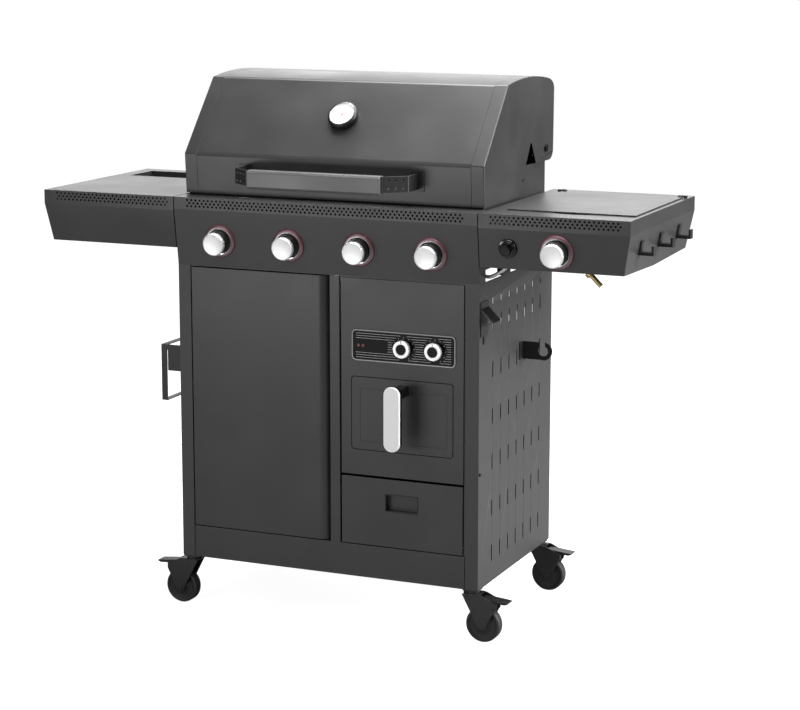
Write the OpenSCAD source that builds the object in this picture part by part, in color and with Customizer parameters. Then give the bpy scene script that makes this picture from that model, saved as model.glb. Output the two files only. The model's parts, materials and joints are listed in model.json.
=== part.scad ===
// Gas barbecue cart: four main burners under a hinged lid, a covered side burner,
// a bottle bay behind a door, and an electric hot-air fryer above a storage drawer.
// Millimetres, +Z up, the front of the cart faces -Y, the castors stand on Z = 0.

/* [Cabinet] */
// Width of the cabinet over its side panels
cab_w = 700; // [696:1:710]
// Depth of the cabinet from the front faces to the rear faces
cab_d = 443; // [440:1:460]
// Height of the side panels
cab_h = 651; // [650:1:652]
// Thickness of the sheet steel
sheet = 1.5; // [1.2:0.1:1.6]
// Height of the cabinet floor line above the ground
clearance = 112; // [110:1:120]

/* [Side shelves] */
// Distance of each shelf's outer edge from the middle of the cart
shelf_out = 675; // [665:5:690]
// Height of the shelf tops above the cabinet's bottom edge
top_z = 800; // [800:1:802]

/* [Lid] */
// How far the lid opens, in degrees
lid_open = 90; // [60:5:90]
// Half the width of the closed lid
lid_half = 347; // [346:0.5:347]
// Highest point of the lid above the cabinet's bottom edge
crown_z = 1056; // [1055:1:1065]

/* [Burners and knobs] */
// Spacing of the four main burners
burner_pitch = 163; // [155:1:165]
// Radius of a gas knob
knob_r = 25; // [22:0.5:26]

/* [Castors] */
// Radius of a castor wheel
wheel_r = 38; // [36:0.5:38]
// Width of a castor wheel
wheel_w = 24; // [20:1:26]

/* [Hidden] */
$fn = 48;

half = cab_w / 2;
post_w = 29;
post_in = half - post_w;

// The frame's origin is at the middle of the bounding box, on the ground
lid_rear = 453;
grip_out = 68;
hook_out = 699;
mid_x = (hook_out - shelf_out) / 2;
mid_y = (lid_rear - grip_out) / 2;

// Front faces of the control panel and of the shelves
band_y = -16;
panel_kink_z = 774;
shelf_kink_z = 770;
shelf_low_z = 688;
face_tilt = atan(-band_y / (panel_kink_z - cab_h));
face_low_y = band_y + (shelf_kink_z - shelf_low_z) * tan(face_tilt);
shelf_in = half + 2;
shelf_rear = 440;
end_slope = 15;

knob_z = 708;
side_knob_x = 519;
side_knob_z = 728;
igniter_x = 415;
igniter_z = 731;
knob_xs = [for (i = [-1.5:1:1.5]) i * burner_pitch];
bezel_r = 36;

// Width of the ventilation slots in the side panels
slot_w = 5.5;

// The two bays behind the front face
centre_post_x = [10.6, 33.6];
toe_h = 70.5;
fryer_x = [37.5, 316];
fryer_mid = (fryer_x[0] + fryer_x[1]) / 2;
fryer_z = [225, 647];
basket_z = [279, 438];
basket_half = 116.5;
drawer_z = [72.5, 220];
plate_mid = fryer_mid + 4;
plate_z = [472, 539];
plate_half = 118;
fryer_knob_z = 505;
fryer_knob_dx = [5, 76];
fan_y = 130;
housing_top = 528;

door_x = [-318.5, -18];
door_z = [72.5, 647];
grip_r = 25.5;
door_pin = [-309, 9];

// Lid: hinge line and the outline of its skin, front bottom edge first
hinge = [399, 894];
fire_half = 340;
fire_y = [42, 416];
fire_low = 672;
fire_top = 868;
crown_y = [165, 418];
crown_drop = 10;
function crown(y) = crown_z - crown_drop * pow((2 * y - crown_y[0] - crown_y[1])
  / (crown_y[1] - crown_y[0]), 2);
lid_outline = concat([[35, 804], [29.5, 890]],
  [for (i = [0:8]) let(y = crown_y[0] + i * (crown_y[1] - crown_y[0]) / 8) [y, crown(y)]],
  [[436, 1040], [447, 1033], [lid_rear, 1022], [450.8, 914]]);
lid_slope = atan((crown(crown_y[0]) - 890) / (crown_y[0] - 29.5));
cap_lip = 29;
gauge_z = 972;
gauge_y = 29.5 + (gauge_z - 890) / tan(lid_slope);

// Side burner and its cover
burner_mid = [side_knob_x, 215];
cover_x = [390, 664];
cover_y = [52, 380];
cover_knuckles = [cover_x[0] + 1, cover_x[1] - 10];
cover_axis = [388, 803.8];

// Front and rear plates of the rack on the left side
rack_y = [6, 200];

// Castors: stem positions, and the wheels trail outwards
stem_x = 332;
stem_y = [16, 421];
trail = 27;
axle_z = wheel_r - clearance;
pedal_pivot = [52, -36];

// Gas inlet elbow and the length of its slanted hose barb
inlet_x = 566;
barb_end = 52;

// Gas tube from the manifold to the side burner valve
tube_r = 4;
tube_route = [[300, 24, 694], [318, 25, 692], [328, 28, 684], [336, 34, 671], [345, 41, 663],
  [356, 42, 661], [370, 42, 667], [386, 39, 678], [402, 34, 691], [425, 28, 704],
  [455, 25, 713], [488, 24, 716]];

// ---------- helpers ----------

module at_home() {
  translate([-mid_x, -mid_y, clearance]) children();
}

module block(lo, hi) {
  translate(lo) cube(hi - lo);
}

// Extrudes an outline drawn in Y and Z from x0 to x1
module along_x(x0, x1) {
  translate([x0, 0, 0]) rotate([90, 0, 90]) linear_extrude(x1 - x0) children();
}

// Extrudes an outline drawn in X and Z from y0 to y1
module along_y(y0, y1) {
  translate([0, y1, 0]) rotate([90, 0, 0]) linear_extrude(y1 - y0) children();
}

module rod_x(x0, x1, y, z, r) {
  translate([x0, y, z]) rotate([0, 90, 0]) cylinder(h = x1 - x0, r = r);
}

module rod_y(y0, y1, x, z, r) {
  translate([x, y0, z]) rotate([-90, 0, 0]) cylinder(h = y1 - y0, r = r);
}

module ring(h, r_out, r_in) {
  difference() {
    cylinder(h = h, r = r_out);
    translate([0, 0, -1]) cylinder(h = h + 2, r = r_in);
  }
}

// Rectangle with rounded corners, kept as true arcs
module round_rect(lo, hi, r) {
  translate([lo[0] + r, lo[1]]) square([hi[0] - lo[0] - 2 * r, hi[1] - lo[1]]);
  translate([lo[0], lo[1] + r]) square([hi[0] - lo[0], hi[1] - lo[1] - 2 * r]);
  for (x = [lo[0] + r, hi[0] - r], z = [lo[1] + r, hi[1] - r]) translate([x, z]) circle(r);
}

// Open tray with walls of thickness w
module tray(lo, hi, w) {
  difference() {
    block(lo, hi);
    block(lo + [w, w, w], hi + [-w, -w, 1]);
  }
}

function slot_y(i) = 78.5 + 48.1 * i;
function unit(v) = v / norm(v);
function left_of(a, b) = let(d = unit(b - a)) [-d.y, d.x];
function bend(p, i) = let(
  n = len(p),
  a = left_of(p[max(i - 1, 0)], p[max(i, 1)]),
  b = left_of(p[min(i, n - 2)], p[min(i + 1, n - 1)])
) (a + b) / (1 + a * b);
// Outline of a bent sheet whose outer face follows p; w > 0 puts the metal on the left
function strip(p, w) = concat(p, [for (i = [len(p) - 1:-1:0]) p[i] + w * bend(p, i)]);

// Local frame on a tilted front face: Z points out to the user, origin on the face
module on_face(x, z, low_z) {
  low_y = low_z == cab_h ? 0 : face_low_y;
  translate([x, low_y - (z - low_z) * tan(face_tilt), z]) rotate([90 + face_tilt, 0, 0]) children();
}

// ---------- cabinet ----------

module side_panel() {
  difference() {
    union() {
      block([half - sheet, 0, 0], [half, cab_d, cab_h]);
      block([half - post_w, 0, 0], [half, sheet, cab_h]);
      block([half - 30, cab_d - sheet, 0], [half, cab_d, cab_h]);
    }
    for (i = [0:6], j = [0:5])
      translate([half - 5, slot_y(i) - slot_w / 2, 47 + 99 * j]) cube([10, slot_w, 33]);
    for (i = [0:6]) translate([half - 5, slot_y(i) - slot_w / 2, 599]) cube([10, slot_w, 13]);
  }
  // stiffening rail behind the panel's upper part
  block([half - 11, 40, 560], [half - sheet, 430, 592]);
}

module left_side_panel() {
  color("#4a4a4a") at_home() mirror([1, 0, 0]) side_panel();
}

module right_side_panel() {
  color("#4a4a4a") at_home() side_panel();
}

// Lower closing sheet and the power inlet of the fryer
module back_panel() {
  y0 = cab_d - sheet;
  inlet = [230, 290];
  color("#444444") at_home() {
    difference() {
      block([30 - half, y0, 15], [half - 30, cab_d, 490]);
      block([inlet[0] - 25, y0 - 1, inlet[1] - 15], [inlet[0] + 25, cab_d + 1, inlet[1] + 15]);
      for (i = [0:5]) block([-260 + 40 * i, y0 - 1, 380], [-240 + 40 * i, cab_d + 1, 384]);
    }
    difference() {
      block([inlet[0] - 25, cab_d - 24, inlet[1] - 15], [inlet[0] + 25, cab_d + 4, inlet[1] + 15]);
      block([inlet[0] - 12, cab_d - 14, inlet[1] - 8], [inlet[0] + 12, cab_d + 5, inlet[1] + 8]);
    }
  }
}

module floor_panel() {
  color("#444444") at_home() {
    block([sheet - half, sheet, 13.5], [half - sheet, cab_d - sheet, 15]);
    for (s = [-1, 1], y = [sheet, cab_d - 43.5])
      block([s > 0 ? 305 : sheet - half, y, 0], [s > 0 ? half - sheet : -305, y + 42, 13.5]);
    difference() {
      translate([-165, 225, 15]) ring(8, 112, 110);
      block([-300, 60, 14], [-30, 130, 30]);
    }
  }
}

// Toe panel, centre post and the rail above both bays
module front_frame() {
  color("#3c3c3c") at_home() {
    block([1.5 - post_in, 0, 0], [post_in - 1.5, sheet, toe_h]);
    block([-post_in, sheet, toe_h - sheet], [post_in, 24, toe_h]);
    block([-post_in, 3.3, 15.3], [post_in, 4.8, toe_h - sheet]);
    difference() {
      block([centre_post_x[0], 0, toe_h], [centre_post_x[1], 24, cab_h - 1.5]);
      block([centre_post_x[0] + sheet, sheet, toe_h - 1], [centre_post_x[1] - sheet, 25, cab_h]);
    }
    block([-post_in, 2, cab_h - 1.5], [post_in, 30, cab_h]);
    // folds that close the gaps round the fryer and the drawer
    block([centre_post_x[1], 3.3, 636], [post_in, 4.8, cab_h - 1.5]);
    block([fryer_x[1] + 0.3, 3.3, toe_h], [post_in, 4.8, cab_h - 1.5]);
  }
}

module control_panel() {
  path = [[24, cab_h], [0, cab_h], [band_y, panel_kink_z], [band_y, top_z], [36, top_z],
    [36, top_z - 12]];
  face = [[34, cab_h], [0, cab_h], [band_y, panel_kink_z], [band_y, top_z], [36, top_z]];
  color("#404040") at_home() difference() {
    union() {
      along_x(-half, half) polygon(strip(path, -sheet));
      for (x = [-half, half - sheet]) along_x(x, x + sheet) polygon(face);
    }
    for (x = knob_xs) on_face(x, knob_z, cab_h) translate([0, 0, -6]) cylinder(h = 12, r = 10);
  }
}

// Rings round the five gas knobs and the collar of the igniter
module control_bezels() {
  color("#c06a6a") at_home() {
    for (x = knob_xs) on_face(x, knob_z, cab_h) ring(6, bezel_r, knob_r + 1);
    on_face(side_knob_x, side_knob_z, shelf_low_z) ring(6, bezel_r, knob_r + 1);
  }
  color("#202020") at_home() on_face(igniter_x, igniter_z, shelf_low_z) {
    ring(6, 20, 11.4);
    translate([0, 0, 6]) ring(6, 14.5, 11.4);
    // battery sleeve behind the fascia
    translate([0, 0, -32]) ring(30.5, 14, 11.4);
    translate([0, 0, -34]) cylinder(h = 2, r = 14);
  }
}

// ---------- side shelves, drawn on the right ----------

module shelf_outer(w) {
  intersection() {
    along_x(shelf_in + w, shelf_out) polygon([[band_y + w, top_z - w], [band_y + w, shelf_kink_z],
      [face_low_y + w, shelf_low_z - 3 * w], [200, shelf_low_z - 6 - 3 * w],
      [shelf_rear - 12 - w, shelf_low_z - 3 * w], [shelf_rear - w, 766], [shelf_rear - w, top_z - w]]);
    along_y(band_y, shelf_rear) polygon([[shelf_in, top_z], [shelf_out - w, top_z],
      [shelf_out - w, shelf_kink_z], [shelf_out - end_slope - w * 1.02, shelf_low_z],
      [shelf_out - end_slope - 2 - w, shelf_low_z - 12], [shelf_in, shelf_low_z - 12]]);
  }
}

module shelf_shell() {
  difference() {
    shelf_outer(0);
    shelf_outer(sheet);
  }
  // brackets that bolt the shelf to the firebox
  for (y = [110, 330]) block([fire_half, y, 700], [shelf_in + 1, y + 40, 760]);
}

module fascia_sheet() {
  along_x(shelf_in - 1, shelf_out + 1) polygon([[band_y - 1, top_z + 1], [band_y - 1, shelf_low_z - 20],
    [face_low_y + sheet + 2.4, shelf_low_z - 20], [face_low_y + sheet, shelf_low_z],
    [band_y + sheet, shelf_kink_z], [band_y + sheet, top_z + 1]]);
}

module left_shelf() {
  pocket = [[372, 300, 742], [640, 402, top_z]];
  color("#5a5a5a") at_home() mirror([1, 0, 0]) {
    difference() {
      shelf_shell();
      block(pocket[0], pocket[1] + [0, 0, 5]);
    }
    difference() {
      block(pocket[0] - [sheet, sheet, sheet], pocket[1] + [sheet, sheet, -sheet]);
      block(pocket[0], pocket[1] + [0, 0, 5]);
    }
  }
}

module right_shelf() {
  color("#5a5a5a") at_home() {
    difference() {
      shelf_shell();
      fascia_sheet();
      block([cover_x[0] + 8, cover_y[0] + 8, 790], [cover_x[1] - 8, cover_y[1] - 8, top_z + 5]);
      // finger scoop in front of the cover
      intersection() {
        block([480, 40, 790], [590, 58, top_z + 5]);
        translate([531.5, 118, 790]) cylinder(h = 20, r = 79);
      }
    }
    // hinge brackets and the pin of the burner cover
    for (s = [-1, 1]) {
      x = (cover_x[0] + cover_x[1]) / 2 + s * 142;
      block([x - 3.5, 384.5, top_z], [x + 3.5, 391.5, cover_axis[1] + 2.5]);
      rod_x(s > 0 ? x - 17 : x - 3, s > 0 ? x + 3 : x + 17, cover_axis[0], cover_axis[1], 1.5);
    }
  }
}

module right_fascia() {
  color("#404040") at_home() difference() {
    intersection() {
      shelf_outer(0);
      fascia_sheet();
    }
    on_face(side_knob_x, side_knob_z, shelf_low_z) translate([0, 0, -6]) cylinder(h = 12, r = 10);
    on_face(igniter_x, igniter_z, shelf_low_z) translate([0, 0, -6]) cylinder(h = 12, r = 11.4);
  }
}

// Outer face of the shelf's sloping end at height z
function end_x(z) = shelf_out + 0.02 - end_slope * (shelf_kink_z - z) / (shelf_kink_z - shelf_low_z);

// Three strip hooks on the shelf's end, a ring hook and a bottle opener on the side panel
module utensil_holders() {
  color("#181818") at_home() {
    for (y = [72, 205, 337]) along_y(y - 9, y + 9)
      polygon([[end_x(751), 751], [end_x(751) + 4, 751], [end_x(728) + 4, 728], [hook_out - 4.5, 728],
        [hook_out - 4.5, 741], [hook_out, 741], [hook_out, 721.5], [end_x(721.5), 721.5]]);
    ring_mid = [398, 470];
    along_y(256, 259) difference() {
      union() {
        translate([half, ring_mid[1] - 19]) square([ring_mid[0] - half, 38]);
        translate(ring_mid) circle(20);
      }
      translate(ring_mid) circle(11);
      translate([ring_mid[0] - 8, ring_mid[1] + 2]) square([12, 30]);
    }
    block([half, 236, ring_mid[1] - 19], [half + 2, 256, ring_mid[1] + 19]);
    block([half, 5, 540], [half + 2, 47, 612]);
    along_y(5, 47) polygon([[half + 1, 600], [half + 30, 572], [half + 12, 563], [half + 12, 565.5],
      [half + 26, 572], [half + 1, 596]]);
    block([half, 20, 522], [half + 2, 32, 540]);
  }
}

// Open rack on the left side: two end plates joined by flat rails
module side_rack() {
  x = -half;
  color("#181818") at_home() {
    for (y = rack_y) {
      block([x - 34, y, 412], [x, y + 2, 470]);
      block([x - 50, y, 345], [x - 36, y + 2, 470]);
      block([x - 37, y, 458], [x - 33, y + 2, 470]);
    }
    for (z = [345, 468]) block([x - 50, rack_y[0], z], [x - 36, rack_y[1] + 2, z + 2]);
  }
}

// ---------- firebox and what it holds ----------

module firebox() {
  side = [[fire_y[0], fire_low], [fire_y[0], 804], [190, 804], [236, fire_top - 2], [fire_y[1], fire_top - 2],
    [fire_y[1], fire_low]];
  baffle_y = 384.5;
  color("#2a2a2a") at_home() {
    difference() {
      union() {
        for (x = [-fire_half, fire_half - sheet]) {
          along_x(x, x + sheet) polygon(side);
          rod_x(x, x + sheet, hinge[0] - 12, hinge[1], 14);
          block([x, hinge[0] - 26, fire_top - 10], [x + sheet, hinge[0] + 2, hinge[1]]);
        }
        block([-fire_half, fire_y[0], fire_low], [fire_half, fire_y[0] + sheet, 803]);
        block([-fire_half, fire_y[1] - sheet, fire_low], [fire_half, fire_y[1], fire_top - 2]);
        block([-fire_half, fire_y[0], fire_low], [fire_half, fire_y[1], fire_low + sheet]);
        // baffle in front of the hinge line
        block([-fire_half, baffle_y, fire_top - 3.5], [fire_half, baffle_y + sheet, 916]);
        block([-fire_half, baffle_y, fire_top - 3.5], [fire_half, fire_y[1], fire_top - 2]);
        // rails under the floor that carry the grease tray
        for (s = [-1, 1]) {
          block([s * 153 - 1, 60, cab_h + 1], [s * 153 + 1, 390, fire_low]);
          block([s > 0 ? 144 : -153, 60, cab_h + 1], [s > 0 ? 153 : -144, 390, cab_h + 2.5]);
        }
        // brackets that stand the firebox on the side panels
        for (s = [-1, 1], y = [130, 340])
          block([s > 0 ? fire_half - sheet : -half, y, cab_h], [s > 0 ? half : sheet - fire_half, y + 50, 690]);
        // ledges that carry the grates
        for (y = [fire_y[0] + sheet, fire_y[1] - 13.5])
          block([sheet - fire_half, y, 778], [fire_half - sheet, y + 12, 780]);
      }
      for (x = knob_xs) rod_y(fire_y[0] - 1, fire_y[0] + 3, x, 716, 14);
      for (x = [-fire_half, fire_half]) rod_x(x - 3, x + 3, hinge[0], hinge[1], 4.3);
      block([-60, 190, fire_low - 1], [60, 250, fire_low + 3]);
    }
  }
}

module grate(x0, x1) {
  y0 = fire_y[0] + 3;
  y1 = fire_y[1] - 3;
  for (x = [x0, x1 - 8]) block([x, y0, 780], [x + 8, y1, 794]);
  for (y = [y0, (y0 + y1) / 2 - 4, y1 - 8]) block([x0, y, 780], [x1, y + 8, 792]);
  for (x = [x0 + 22:21:x1 - 18]) block([x, y0, 784], [x + 6, y1, 794]);
}

module cast_grates() {
  color("#1c1c1c") at_home() {
    for (i = [-1:1]) grate(i * 223 - 110, i * 223 + 110);
    translate([burner_mid[0], burner_mid[1], 0]) {
      translate([0, 0, 790]) ring(6, 92, 85);
      for (a = [0:60:300]) rotate(a + 30) block([40, -3, 788], [120, 3, 797]);
    }
  }
}

module warming_rack() {
  z = 880;
  color("#b5b5b5") at_home() {
    for (y = [262, 372]) rod_x(-310, 310, y, z, 3);
    for (x = [-300:24:300]) rod_y(262, 372, x, z, 2);
    for (x = [-310, 310]) {
      rod_y(262, 372, x, z, 3);
      rod_x(x > 0 ? 310 : 1.5 - fire_half, x > 0 ? fire_half - 1.5 : -310, 372, z, 3);
    }
    for (s = [-1, 1]) block([s > 0 ? 334 : 1.5 - fire_half, 366, 846], [s > 0 ? fire_half - 1.5 : -334, 378, 884]);
  }
}

module heat_plates() {
  color("#9a9a9a") at_home() for (x = knob_xs)
    translate([x, 0, 0]) along_y(fire_y[0] + sheet, fire_y[1] - sheet)
      polygon(strip([[-45, 742], [-45, 748], [0, 766], [45, 748], [45, 742]], -sheet));
}

module burners() {
  color("#a8a8a8") at_home() for (x = knob_xs) {
    difference() {
      rod_y(36, fire_y[1] - sheet, x, 716, 13);
      rod_y(35, 390, x, 716, 11.8);
      for (s = [-1, 1]) translate([x + s * 13, 56, 716]) cube([8, 16, 12], center = true);
    }
    // spark electrode beside each tube
    rod_y(fire_y[0] + sheet, 90, x + 22, 726, 3.5);
  }
}

// A gas valve in the local frame of a tilted face
module valve() {
  translate([0, 0, -36]) cylinder(h = 22, r = 9);
  translate([0, 0, -15]) cylinder(h = 9, r = 6);
  translate([0, 0, -7]) cylinder(h = 21, r = 3);
  translate([0, 0, -46]) cylinder(h = 11, r = 3.5);
}

module manifold() {
  color("#8c8c8c") at_home() {
    rod_x(-300, 300, 24, 694, 9);
    for (x = knob_xs) {
      on_face(x, knob_z, cab_h) valve();
      translate([x, 23, 700]) cylinder(h = 8, r = 6);
    }
    rod_x(488, inlet_x - 8, 24, 716, 7);
    on_face(side_knob_x, side_knob_z, shelf_low_z) valve();
  }
}

// Points of a smooth curve through p, four to a stretch
function through(p) = [for (i = [0:len(p) - 2], t = [0:0.5:0.5]) let(
  a = p[max(i - 1, 0)], b = p[i], c = p[i + 1], d = p[min(i + 2, len(p) - 1)]
) ((2 * b) + (c - a) * t + (2 * a - 5 * b + 4 * c - d) * t * t + (3 * b - a - 3 * c + d) * t * t * t) / 2];
function ends_with(p) = concat(through(p), [p[len(p) - 1]]);

module tube(p, r, sides) {
  path = ends_with(p);
  n = len(path);
  rings = [for (i = [0:n - 1]) let(
    d = unit(path[min(i + 1, n - 1)] - path[max(i - 1, 0)]),
    u = unit(cross(d, [0, 1, 0.2])),
    v = cross(d, u)
  ) [for (k = [0:sides - 1]) path[i] + r * (cos(360 * k / sides) * u + sin(360 * k / sides) * v)]];
  points = [for (r_i = rings, q = r_i) q];
  walls = [for (i = [0:n - 2], k = [0:sides - 1]) let(m = (k + 1) % sides)
    [i * sides + k, i * sides + m, (i + 1) * sides + m, (i + 1) * sides + k]];
  caps = [[for (k = [sides - 1:-1:0]) k], [for (k = [0:sides - 1]) (n - 1) * sides + k]];
  polyhedron(points, concat(walls, caps));
}

module side_gas_tube() {
  color("#d8d8d8") at_home() tube(tube_route, tube_r, 10);
}

// Brass elbow with a hose barb that points down and outwards
module gas_inlet() {
  color("#b08d3c") at_home() {
    block([inlet_x - 8, 15, 686], [inlet_x + 8, 33, 725]);
    translate([inlet_x, 24, 697]) rotate([0, 135, 0]) {
      cylinder(h = 24, r = 6.5);
      translate([0, 0, 14]) cylinder(h = 8, r = 9.5);
      translate([0, 0, 23]) cylinder(h = barb_end - 23, r = 5);
    }
  }
}

module side_burner() {
  color("#303030") at_home() {
    tray([398, 62, 764], [656, 370, 799], 1.2);
    translate([burner_mid[0], burner_mid[1], 765.2]) {
      cylinder(h = 8, r = 38);
      cylinder(h = 14, r = 30);
    }
    translate([burner_mid[0], burner_mid[1], 737]) cylinder(h = 27, r = 13);
    difference() {
      rod_y(30, burner_mid[1], burner_mid[0], 737, 10);
      rod_y(29, 190, burner_mid[0], 737, 9);
    }
  }
}

// ---------- hot-air fryer ----------

module fryer_housing() {
  x0 = 26;
  color("#6a6a6a") at_home() {
    difference() {
      union() {
        block([x0, 24, 15], [x0 + sheet, cab_d - sheet, cab_h - 1.5]);
        block([x0 + sheet, 24, 222], [half - sheet, 400, 223.5]);
        block([fryer_x[0], 3, 228], [fryer_x[1], 266, housing_top]);
      }
      block([fryer_x[0] + 1.2, 2, 229.2], [fryer_x[1] - 1.2, 264.8, housing_top - 1.2]);
    }
    // runners under the drawer and under the basket
    block([x0 + sheet, 30, 80], [60, 380, 83.7]);
    block([292, 30, 80], [half - sheet, 380, 83.7]);
    for (s = [-1, 1]) block([fryer_mid + s * 95 - 5, 20, 278.2], [fryer_mid + s * 95 + 5, 250, 287.7]);
    // chamber round the basket, open at the front
    difference() {
      block([fryer_mid - basket_half - 1, 3, 277], [fryer_mid + basket_half + 1, 262, 462]);
      block([fryer_mid - basket_half, 2, 278.2], [fryer_mid + basket_half, 260.8, 460.8]);
      translate([fryer_mid, fan_y, 455]) cylinder(h = 10, r = 8);
    }
  }
}

// Fryer front with the trimmed control plate as a separate piece
module fryer_front() {
  color("#3f3f3f") at_home() {
    difference() {
      block([fryer_x[0], 0, fryer_z[0]], [fryer_x[1], 3, fryer_z[1]]);
      along_y(-1, 4) round_rect([fryer_mid - basket_half, basket_z[0]], [fryer_mid + basket_half, basket_z[1]], 8);
      for (d = fryer_knob_dx) rod_y(-1, 4, fryer_mid + d, fryer_knob_z, 6);
    }
    difference() {
      along_y(-2, 0) round_rect([plate_mid - plate_half, plate_z[0]], [plate_mid + plate_half, plate_z[1]], 10);
      for (d = fryer_knob_dx) rod_y(-3, 1, fryer_mid + d, fryer_knob_z, 6);
    }
    for (d = fryer_knob_dx) {
      rod_y(-11, 20, fryer_mid + d, fryer_knob_z, 3);
      rod_y(3, 22, fryer_mid + d, fryer_knob_z, 12);
    }
  }
}

module fryer_heater() {
  color("#c0c0c0") at_home() translate([fryer_mid, fan_y, 0]) {
    for (r = [62, 78]) translate([0, 0, 447]) rotate_extrude() translate([r, 0]) circle(3.5);
    difference() {
      translate([0, 0, 462]) cylinder(h = 46, r = 34);
      translate([0, 0, 461]) cylinder(h = 30, r = 4.3);
    }
    for (s = [-1, 1]) block([s * 70 - 10, -4, 448], [s * 70 + 10, 4, 460.8]);
  }
}

module fryer_fan() {
  color("#a0a0a0") at_home() translate([fryer_mid, fan_y, 0]) {
    translate([0, 0, 443]) cylinder(h = 40, r = 4);
    translate([0, 0, 440]) cylinder(h = 6, r = 12);
    for (a = [0:60:300]) rotate(a) block([10, -1, 441], [54, 1, 456]);
  }
}

module fryer_basket() {
  lo = [fryer_mid - 108, 13, 288];
  hi = [fryer_mid + 108, 245, 428];
  color("#3a3a3a") at_home() {
    along_y(-1, 13) round_rect([fryer_mid - basket_half + 1.2, basket_z[0] + 1.2],
      [fryer_mid + basket_half - 1.2, basket_z[1] - 1.2], 7);
    tray(lo, hi, sheet);
  }
}

module crisper_plate() {
  color("#2c2c2c") at_home() difference() {
    union() {
      block([fryer_mid - 104, 18, 301], [fryer_mid + 104, 240, 303]);
      for (x = [-96, 88], y = [24, 226]) block([fryer_mid + x, y, 289.5], [fryer_mid + x + 8, y + 8, 301]);
    }
    for (i = [-4:4], j = [-4:4]) translate([fryer_mid + i * 21, 129 + j * 23, 300]) cylinder(h = 4, r = 4);
  }
}

// Black grip with a bright cover on its front
module basket_handle() {
  x = fryer_mid + 5;
  color("#151515") at_home() {
    block([x - 12, -50, 405], [x + 12, -1, 425]);
    along_y(-62, -50) round_rect([x - 18, 297], [x + 18, 435], 17);
  }
  color("#e8e8e8") at_home() along_y(-grip_out, -62) round_rect([x - 18, 297], [x + 18, 435], 17);
}

module fryer_knob(d) {
  color("#d0d0d0") at_home() difference() {
    union() {
      rod_y(-18, -2.5, fryer_mid + d, fryer_knob_z, 19);
      rod_y(-19, -18, fryer_mid + d, fryer_knob_z, 11);
    }
    rod_y(-12, -2, fryer_mid + d, fryer_knob_z, 3.3);
  }
}

module fryer_knob_left() { fryer_knob(fryer_knob_dx[0]); }

module fryer_knob_right() { fryer_knob(fryer_knob_dx[1]); }

// ---------- door, drawer and grease tray ----------

module door() {
  grip = [for (a = [-90:15:0]) [door_x[1] + grip_r * cos(a), grip_r + grip_r * sin(a)]];
  outline = concat([[door_x[0], 18], [door_x[0], 0]], grip);
  color("#3f3f3f") at_home() {
    translate([0, 0, door_z[0]]) linear_extrude(door_z[1] - door_z[0]) polygon(strip(outline, sheet));
    difference() {
      for (z = [door_z[0], door_z[1] - sheet]) translate([0, 0, z]) linear_extrude(sheet)
        polygon(concat([[door_x[0] + 1, 18], [door_x[0] + 1, 1]], [for (q = grip) q + [-1, 1]],
          [[door_x[1] + grip_r - 8, 18]]));
      translate([door_pin.x, door_pin.y, 0]) cylinder(h = cab_h, r = 3.3);
    }
  }
}

module storage_drawer() {
  x0 = fryer_x[0];
  x1 = fryer_x[1] - 1;
  pull = [[140, 152], [212, 186]];
  color("#3f3f3f") at_home() {
    difference() {
      union() {
        block([x0, 0, drawer_z[0]], [x1, sheet, drawer_z[1]]);
        tray([x0 + 8, 0, 84], [x1 - 8, 370, 205], 1.2);
      }
      block([pull[0].x, -1, pull[0].y], [pull[1].x, 3, pull[1].y]);
    }
    difference() {
      block([pull[0].x - 2, 1.5, pull[0].y - 2], [pull[1].x + 2, 15, pull[1].y + 2]);
      block([pull[0].x, 0, pull[0].y], [pull[1].x, 13.5, pull[1].y]);
    }
  }
}

module grease_tray() {
  color("#b0b0b0") at_home() {
    tray([-151, 66, 653.8], [151, 432, 669.5], 1.2);
    block([-40, 432, 658], [40, 444, 660]);
    block([-40, 442, 650], [40, 444, 658]);
  }
}

// ---------- lid ----------

module lid_skin() {
  color("#434343") at_home() along_x(-lid_half + cap_lip + 0.4, lid_half - cap_lip - 0.4)
    polygon(strip(lid_outline, -sheet));
}

module end_cap() {
  n = len(lid_outline);
  rear = concat([for (a = [0:-15:-90]) [425 + 25 * cos(a), 891 + 25 * sin(a)]],
    [[340, 866], [311, 913], [305, 913], [234, 804]]);
  difference() {
    union() {
      along_x(lid_half - cap_lip, lid_half) polygon(strip(lid_outline, -sheet));
      along_x(lid_half - sheet, lid_half) polygon(concat(lid_outline, rear));
    }
    rod_x(lid_half - 5, lid_half + 5, hinge[0], hinge[1], 4.3);
  }
}

module lid_end_caps() {
  color("#4c4c4c") at_home() for (m = [0, 1]) mirror([m, 0, 0]) end_cap();
}

// Section of the handle bar, drawn w inside its surface
function bar_outline(w) = let(c = 5 - 0.6 * w, y = [-59 + w, -36 - w], z = [829.5 + w, 869.5 - w]) [
  [y[0], z[0] + c], [y[0], z[1] - c], [y[0] + c, z[1]], [y[1] - c / 2, z[1]], [y[1], z[1] - c / 2],
  [y[1], z[0] + c / 2], [y[1] - c / 2, z[0]], [y[0] + c, z[0]]];

module lid_handle() {
  color("#6b6b6b") at_home() {
    along_x(-152, 152) difference() {
      polygon(bar_outline(0));
      polygon(bar_outline(1.8));
    }
    for (x = [-152, 150]) along_x(x, x + 2) polygon(bar_outline(0));
  }
}

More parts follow.
